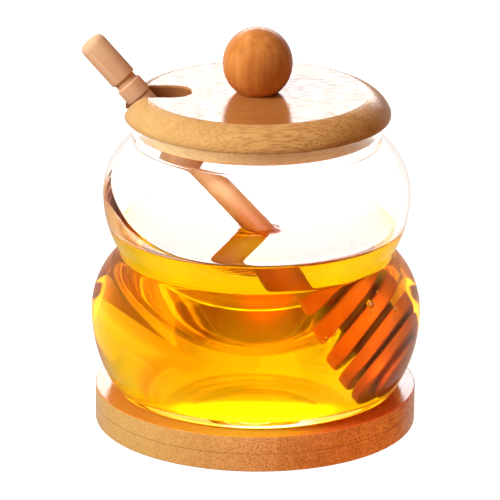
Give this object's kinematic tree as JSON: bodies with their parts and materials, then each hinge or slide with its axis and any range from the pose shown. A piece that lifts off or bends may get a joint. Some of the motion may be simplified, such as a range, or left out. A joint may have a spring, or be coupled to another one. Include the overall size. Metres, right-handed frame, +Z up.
{
  "type": "honey pot",
  "caption": "Glass honey pot with two stacked bulges on a bamboo saucer, part full of honey, with a ball-knobbed bamboo lid and a wooden honey dipper leaning out through the lid's notch.",
  "frame": {"origin": "on the pot's axis at the underside of the saucer, where it stands on the table", "axes": "+Z up along the pot's axis, -X towards the notch in the lid and the dipper's grip, -Y towards the viewer of the picture"},
  "size_m": [0.1141, 0.111, 0.1366],
  "materials": {
    "saucer_bamboo": "varnished bamboo, end grain on the side",
    "clear_glass": "clear blown glass",
    "honey": "clear golden honey, smooth and wet",
    "dipper_wood": "turned light wood, unvarnished",
    "lid_bamboo": "glossy varnished bamboo with long grain on top",
    "knob_wood": "glossy varnished wood"
  },
  "bodies": {
    "root": {"saucer": "saucer_bamboo", "jar": "clear_glass", "honey": "honey", "dipper": "dipper_wood", "lid": "lid_bamboo", "knob": "knob_wood"}
  },
  "joints": []
}
